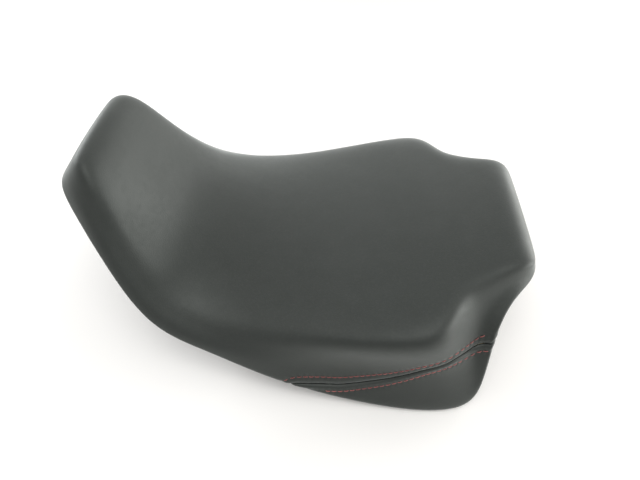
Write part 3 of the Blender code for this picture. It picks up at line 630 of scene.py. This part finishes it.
print("loops below the crown edge:", len(skin_loops()[1]))

# %% [markdown]
# The cage is joined up face by face, because its top grid and its loops meet at the crown edge. Then it
# is mirrored, and subdivided three times, which makes the coarse cage a smooth skin.

# %% Build the skin


def half_cage():
    """The left half of the cage as a mesh."""
    grid, loops = skin_loops()
    bm = bmesh.new()
    top = [[bm.verts.new(point) for point in row] for row in grid]
    for near, far in zip(top, top[1:]):
        for j in range(len(near) - 1):
            bm.faces.new((near[j], near[j + 1], far[j + 1], far[j]))
    above = top[0] + [row[-1] for row in top[1:-1]] + top[-1][::-1]
    for loop in loops:
        below = [bm.verts.new(point) for point in loop]
        for i in range(len(loop) - 1):
            bm.faces.new((above[i + 1], above[i], below[i], below[i + 1]))
        above = below
    mesh = bpy.data.meshes.new("half_cage")
    bm.to_mesh(mesh)
    bm.free()
    return mesh


def add_piece(name, mesh):
    """A new object of the scene, made the active one."""
    piece = bpy.data.objects.new(name, mesh)
    scene.collection.objects.link(piece)
    bpy.ops.object.select_all(action="DESELECT")
    piece.select_set(True)
    bpy.context.view_layer.objects.active = piece
    return piece


def apply_all(piece):
    """Applies the piece's modifiers in their order."""
    bpy.ops.object.select_all(action="DESELECT")
    piece.select_set(True)
    bpy.context.view_layer.objects.active = piece
    for modifier in list(piece.modifiers):
        bpy.ops.object.modifier_apply(modifier=modifier.name)


SKIN_LEVELS = 3
MIRROR_WELD = 0.01 * MM

skin = add_piece("skin", half_cage())
mirror = skin.modifiers.new("other_half", "MIRROR")
mirror.use_axis = (False, True, False)
mirror.merge_threshold = MIRROR_WELD
subdivide = skin.modifiers.new("smooth", "SUBSURF")
subdivide.levels = SKIN_LEVELS
subdivide.render_levels = SKIN_LEVELS
apply_all(skin)
print("skin:", len(skin.data.polygons), "faces, size", [round(side, 3) for side in skin.dimensions])

# %% [markdown]
# ## The seam
#
# Two panels are sewn together face to face, turned open, and stitched down on both sides. Seen from
# outside, each panel rolls into a narrow groove, the doubled skin beside it stands a little proud, and
# each row of stitching presses a shallow valley. To have edges that follow the seam exactly, the skin's
# faces are cut where the distance from the seam passes a few chosen values.

# %% The seam's line
# Points (back, up) in millimetres, from the front end at the skirt to the rear corner.
SEAM_POINTS = (
    (172, 2), (189, 17), (214, 19), (245, 19), (282, 26), (306, 35),
    (328, 47), (350, 53), (371, 53), (386, 58), (410, 68),
)
SEAM_STEPS = 12
SEAM_RUN_ON = 60.0


def smooth_through(points, steps):
    """A Catmull-Rom line through the points."""
    line = []
    for i in range(len(points) - 1):
        ring = [Vector(points[max(0, min(k, len(points) - 1))]) for k in range(i - 1, i + 3)]
        for k in range(steps):
            t = k / steps
            line.append(0.5 * (
                2 * ring[1] + (ring[2] - ring[0]) * t
                + (2 * ring[0] - 5 * ring[1] + 4 * ring[2] - ring[3]) * t * t
                + (3 * ring[1] - ring[0] - 3 * ring[2] + ring[3]) * t ** 3
            ))
    return line + [Vector(points[-1])]


def run_on(line, length):
    """The same line, carried straight on past both ends."""
    first = line[0] + (line[0] - line[1]).normalized() * length
    last = line[-1] + (line[-1] - line[-2]).normalized() * length
    return [first] + line + [last]


seam_bench = run_on(smooth_through(SEAM_POINTS, SEAM_STEPS), SEAM_RUN_ON)
seam_line = np.array([(bench(back, 0, up).x, bench(back, 0, up).z) for back, up in seam_bench])
seam_marks = np.concatenate([[0.0], np.cumsum(np.linalg.norm(np.diff(seam_line, axis=0), axis=1))])


def seam_measure(points):
    """For points in the frame: distance from the seam (plus above it), and run along it, in metres."""
    flat = np.array([(point[0], point[2]) for point in points])
    start, step = seam_line[:-1], np.diff(seam_line, axis=0)
    long = (step ** 2).sum(1)
    gap = flat[:, None, :] - start[None]
    share = np.clip((gap * step).sum(2) / long, 0.0, 1.0)
    off = gap - share[..., None] * step
    reach = np.sqrt((off ** 2).sum(2))
    nearest = reach.argmin(1)
    rows = np.arange(len(flat))
    side = step[nearest, 0] * gap[rows, nearest, 1] - step[nearest, 1] * gap[rows, nearest, 0]
    run = seam_marks[nearest] + share[rows, nearest] * np.sqrt(long[nearest])
    return reach[rows, nearest] * -np.sign(side), run


distances, _ = seam_measure([vertex.co for vertex in skin.data.vertices])
print("seam:", round(seam_marks[-1] - 2 * SEAM_RUN_ON * MM, 3), "m long")

# %% [markdown]
# Each point of the skin now knows how far it is from the seam. An edge whose two ends lie on either side
# of a chosen distance is split where that distance falls, and the faces are split between such points.

# %% Cut the skin's faces along the seam
SEAM_GAP = 0.25 * MM
SEAM_CUTS = tuple(value * MM for value in (0.25, 0.9, 1.8, 3.2, 5.0, 6.5, 8.0, 10.5))
SAME_DISTANCE = 1e-7


def cut_where(bm, field, level):
    """Splits the faces along the line where the field passes the level."""
    for edge in list(bm.edges):
        first, second = edge.verts
        a, b = first[field] - level, second[field] - level
        if a * b < 0.0:
            _, fresh = bmesh.utils.edge_split(edge, first, a / (a - b))
            fresh[field] = level
    for face in list(bm.faces):
        on_line = [vertex for vertex in face.verts if abs(vertex[field] - level) < SAME_DISTANCE]
        if len(on_line) == 2 and not bm.edges.get(on_line):
            bmesh.utils.face_split(face, *on_line)


bm = bmesh.new()
bm.from_mesh(skin.data)
distance_layer = bm.verts.layers.float.new("seam_distance")
for vertex, distance in zip(bm.verts, distances):
    vertex[distance_layer] = distance
for cut in SEAM_CUTS:
    cut_where(bm, distance_layer, cut)
    cut_where(bm, distance_layer, -cut)
bm.normal_update()
print("faces with the seam's cuts:", len(bm.faces))

# %% [markdown]
# The cuts leave points at known distances from the seam. Each is pressed in, or lifted, by the depth that
# a sewn seam has there. The narrow band of faces on the seam itself is removed, which parts the panels.

# %% Press the seam in
# How far the skin lies under its smooth surface, at each distance from the seam, in millimetres.
SEAM_PROFILE = (
    (0.0, 1.7), (0.25, 1.5), (0.9, 0.7), (1.8, 0.0), (3.2, -0.35),
    (5.0, -0.1), (6.5, 0.35), (8.0, 0.1), (10.5, 0.0),
)
profile_at = np.array([distance for distance, _ in SEAM_PROFILE]) * MM
profile_depth = np.array([depth for _, depth in SEAM_PROFILE]) * MM


def seam_depth(distance):
    """How far in the skin is pressed at this distance from the seam."""
    return float(np.interp(abs(distance), profile_at, profile_depth))


moves = [(vertex, vertex.normal * -seam_depth(vertex[distance_layer])) for vertex in bm.verts]
for vertex, move in moves:
    vertex.co += move
in_gap = [
    face for face in bm.faces
    if abs(sum(vertex[distance_layer] for vertex in face.verts) / len(face.verts)) < SEAM_GAP
]
bmesh.ops.delete(bm, geom=in_gap, context="FACES")
print("seam gap faces removed:", len(in_gap))

# %% [markdown]
# What is above the seam is the main panel, and what is below it is a side panel on the left and one on
# the right. Each becomes a piece of its own and is given its thickness inward, so that its outside stays
# where it was drawn.

# %% Mark each face with its panel
run_layer = bm.verts.layers.float.new("seam_run")
for vertex, run in zip(bm.verts, seam_measure([vertex.co for vertex in bm.verts])[1]):
    vertex[run_layer] = run


def panel_of(face):
    """0 is the main panel, 1 the left and 2 the right side panel."""
    if sum(vertex[distance_layer] for vertex in face.verts) > 0.0:
        return 0
    return 1 if face.calc_center_median().y > 0.0 else 2


for face in bm.faces:
    face.material_index = panel_of(face)
panel_faces = [sum(face.material_index == number for face in bm.faces) for number in range(3)]
print("faces of the main, left and right panel:", panel_faces)

# %% Take the panels apart


def take_panel(name, number):
    """One panel of the skin as a piece of its own, with its thickness."""
    part = bm.copy()
    others = [face for face in part.faces if face.material_index != number]
    bmesh.ops.delete(part, geom=others, context="FACES")
    for face in part.faces:
        face.material_index = 0
    mesh = bpy.data.meshes.new(name)
    part.to_mesh(mesh)
    part.free()
    piece = add_piece(name, mesh)
    solid = piece.modifiers.new("thickness", "SOLIDIFY")
    solid.thickness = SKIN_THICKNESS * MM
    solid.offset = -1.0
    solid.use_even_offset = False
    apply_all(piece)
    piece.data.shade_smooth()
    piece.data.materials.append(vinyl)
    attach(piece, "root")
    print(name, len(piece.data.polygons), "faces")
    return piece


def outer_area(number):
    """The area of a panel's outside as it was drawn, in square metres."""
    return sum(face.calc_area() for face in bm.faces if face.material_index == number)


areas = [outer_area(number) for number in range(3)]
main_panel = take_panel("skin_main_panel", 0)
side_panels = [take_panel("skin_side_panel_left", 1), take_panel("skin_side_panel_right", 2)]
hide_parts("cover_main_panel")
for panel, side in zip(side_panels, ("left", "right")):
    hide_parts("cover_side_panel_" + side)
skin_tree = BVHTree.FromBMesh(bm)
bm.free()
bpy.data.objects.remove(skin)

# %% [markdown]
# ## The stitching
#
# A lockstitch shows as a row of short arches: the thread comes up through one hole, lies on the skin
# and goes down at the next. One arch is enough to model. A six-sided ring is spun through a part of a
# circle, and a copy of it is laid between each pair of needle holes, in the direction of the row.

# %% One stitch
THREAD_RADIUS = 0.42 * MM
STITCH_LENGTH = 4.7 * MM
STITCH_RISE = 0.75 * MM
arch_radius = STITCH_LENGTH ** 2 / (8 * STITCH_RISE) + STITCH_RISE / 2
arch_turn = math.asin(STITCH_LENGTH / 2 / arch_radius)

bpy.ops.object.select_all(action="DESELECT")
bpy.ops.mesh.primitive_circle_add(
    vertices=6, radius=THREAD_RADIUS, fill_type="NGON",
    location=(-math.sin(arch_turn) * arch_radius, 0.0, (math.cos(arch_turn) - 1.0) * arch_radius),
    rotation=(0.0, math.pi / 2 - arch_turn, 0.0),
)
stitch = bpy.context.object
stitch.name = "one_stitch"
bpy.ops.object.transform_apply(location=True, rotation=True, scale=True)
bpy.ops.object.mode_set(mode="EDIT")
bpy.ops.mesh.select_all(action="SELECT")
bpy.ops.mesh.spin(steps=6, angle=-2 * arch_turn, center=(0.0, 0.0, -arch_radius), axis=(0.0, 1.0, 0.0))
bpy.ops.mesh.select_all(action="SELECT")
bpy.ops.mesh.normals_make_consistent(inside=False)
bpy.ops.object.mode_set(mode="OBJECT")
stitch_size = [round(side / MM, 2) for side in stitch.dimensions]
print("one stitch:", len(stitch.data.polygons), "faces,", stitch_size, "mm")

# %% [markdown]
# A row runs beside the seam at a fixed distance. Its needle holes are marked a pitch apart, each hole is
# found on the skin from the side, and a copy of the stitch is turned to lie along the skin from one hole
# to the next.

# %% Needle holes
# Side of the seam (1 above it, -1 below), and where the row begins and ends, in millimetres back.
STITCH_SPANS = {"upper": (1, 179.0, 387.0), "lower": (-1, 222.0, 387.0)}
STITCH_SINK = 0.25 * MM
FAR_SIDE = 0.3


def on_the_skin(x, z, side):
    """The skin's outer point and its normal, seen from the side."""
    place, normal, _, _ = skin_tree.ray_cast(Vector((x, side * FAR_SIDE, z)), Vector((0.0, -side, 0.0)))
    if normal is not None and normal.y * side < 0.0:
        normal = -normal
    return place, normal


def row_holes(row, begin, end):
    """Needle holes of one row as (x, z), a pitch apart along the seam."""
    holes = []
    marks = np.arange(seam_marks[1], seam_marks[-2], STITCH_PITCH)
    for mark in marks:
        x, z = (np.interp(mark, seam_marks, seam_line[:, axis]) for axis in (0, 1))
        ahead = [np.interp(mark + MM, seam_marks, seam_line[:, axis]) for axis in (0, 1)]
        along = Vector((ahead[0] - x, ahead[1] - z)).normalized()
        back = BACK_OF_ORIGIN - x / MM
        if begin <= back <= end:
            up = Vector((along.y, -along.x)) * row * STITCH_ROW
            holes.append((x + up.x, z + up.y))
    return holes


print("needle holes per row:", {name: len(row_holes(*span)) for name, span in STITCH_SPANS.items()})

# %% Lay the rows


def lay_row(name, row, begin, end, side):
    """A row of stitches on one side of the seat."""
    bm = bmesh.new()
    holes = row_holes(row, begin, end)
    for near, far in zip(holes, holes[1:]):
        (start, normal), (stop, _) = on_the_skin(*near, side), on_the_skin(*far, side)
        if start is None or stop is None:
            continue
        along = (stop - start).normalized()
        across = normal.cross(along).normalized()
        out = along.cross(across)
        turn = Matrix((along, across, out)).transposed().to_4x4()
        middle = (start + stop) / 2 + out * (STITCH_RISE - STITCH_SINK)
        first = len(bm.verts)
        bm.from_mesh(stitch.data)
        bm.verts.ensure_lookup_table()
        bmesh.ops.transform(bm, matrix=Matrix.Translation(middle) @ turn, verts=bm.verts[first:])
    mesh = bpy.data.meshes.new(name)
    bm.to_mesh(mesh)
    bm.free()
    piece = add_piece(name, mesh)
    mesh.shade_smooth()
    mesh.materials.append(thread_finish)
    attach(piece, "root")
    print(name, len(holes) - 1, "stitches")
    return piece


for row_name, (row, begin, end) in STITCH_SPANS.items():
    for side_name, side in (("left", 1), ("right", -1)):
        stitches = lay_row(f"stitches_{row_name}_{side_name}", row, begin, end, side)
        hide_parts(f"stitch_thread_{row_name}_{side_name}")
bpy.data.objects.remove(stitch)

# %% [markdown]
# Vinyl is cut flat and pulled taut over the foam. The area that each panel's outside covers is printed.

print("skin areas:", [round(area, 4) for area in areas], "square metres")

# %% [markdown]
# ## What the skin hides
#
# The foam fills the space between the skin and the pan, and two woven tapes back the seams. Both come
# from the frame: a copy is welded and smoothed, and where it would come through the finer skin, it is
# pressed back under it, as the tight vinyl does to real foam.

# %% Foam and tapes
WELD = 0.005 * MM
FOAM_UNDER_SKIN = 3.5 * MM
TAPE_UNDER_SKIN = 2.2 * MM
REACH_OF_PRESS = 4


def welded_copy(node_name, name, finish, smooth_angle):
    """A copy of a frame node as one joined surface, with smooth shading up to an angle."""
    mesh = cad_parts[node_name].data.copy()
    mesh.name = name
    mesh.materials.clear()
    piece = add_piece(name, mesh)
    bpy.ops.object.mode_set(mode="EDIT")
    bpy.ops.mesh.select_all(action="SELECT")
    bpy.ops.mesh.remove_doubles(threshold=WELD)
    bpy.ops.object.mode_set(mode="OBJECT")
    bpy.ops.object.shade_smooth_by_angle(angle=math.radians(smooth_angle))
    mesh.materials.append(finish)
    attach(piece, "root")
    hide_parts(node_name)
    return piece


def press_under_skin(piece, depth):
    """Moves in the points that lie less than this deep under the skin's outer surface."""
    pressed = 0
    for vertex in piece.data.vertices:
        place, normal, _, gap = skin_tree.find_nearest(vertex.co)
        under = (place - vertex.co).dot(normal)
        if under < depth and gap < REACH_OF_PRESS * depth:
            vertex.co -= normal * (depth - under)
            pressed += 1
    print(piece.name, "points pressed in:", pressed)


foam = welded_copy("foam_cushion", "foam_block", foam_finish, 60.0)
press_under_skin(foam, FOAM_UNDER_SKIN)
for side_name in ("left", "right"):
    tape = welded_copy(
        "seam_tape_" + side_name, "seam_backing_" + side_name, webbing_finish, 40.0,
    )
    press_under_skin(tape, TAPE_UNDER_SKIN)

# %% [markdown]
# ## Underneath
#
# The pan and its hardware keep the frame's shapes, each as a welded copy. Real edges are never sharp, so
# each piece of hardware gets a narrow bevel, which catches the light as a moulded or sheared edge does.

# %% Pan and hardware


SHARP_EDGE = 35.0


def rounded_copy(node_name, name, finish, edge, smooth_angle=40.0):
    """A welded copy with its sharp edges rounded; an edge of 0 leaves them as they are."""
    piece = welded_copy(node_name, name, finish, smooth_angle)
    if edge:
        bevel = piece.modifiers.new("rounded_edges", "BEVEL")
        bevel.width = edge * MM
        bevel.segments = 2
        bevel.limit_method = "ANGLE"
        bevel.angle_limit = math.radians(SHARP_EDGE)
        bevel.harden_normals = False
        apply_all(piece)
        bpy.ops.object.shade_smooth_by_angle(angle=math.radians(smooth_angle))


# Start of the node's name, finish, slot, and width of the rounded edge in millimetres.
HARDWARE = (
    ("front_tongue", steel_finish, "steel", 0.4),
    ("rear_bracket", steel_finish, "steel", 0.4),
    ("tank_edge_pad", rubber_finish, "rubber", 0.6),
    ("foot_buffer", rubber_finish, "rubber", 0.7),
    ("frame_buffer", rubber_finish, "rubber", 0.7),
    ("lug_grommet", rubber_finish, "rubber", 0.5),
    ("lug_collar", zinc_finish, "zinc", 0.2),
    ("tongue_screw", zinc_finish, "zinc", 0.25),
    ("bracket_screw", zinc_finish, "zinc", 0.25),
    ("hem_staple", zinc_finish, "zinc", 0.15),
)
rounded_copy("seat_pan", "pan_shell", plastic_finish, 0.0, 38.0)
made = 1
for start, finish, slot_name, edge in HARDWARE:
    for node_name in sorted(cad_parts):
        if node_name.startswith(start):
            rounded_copy(node_name, node_name + "_finished", finish, edge)
            made += 1
print("pieces underneath:", made)
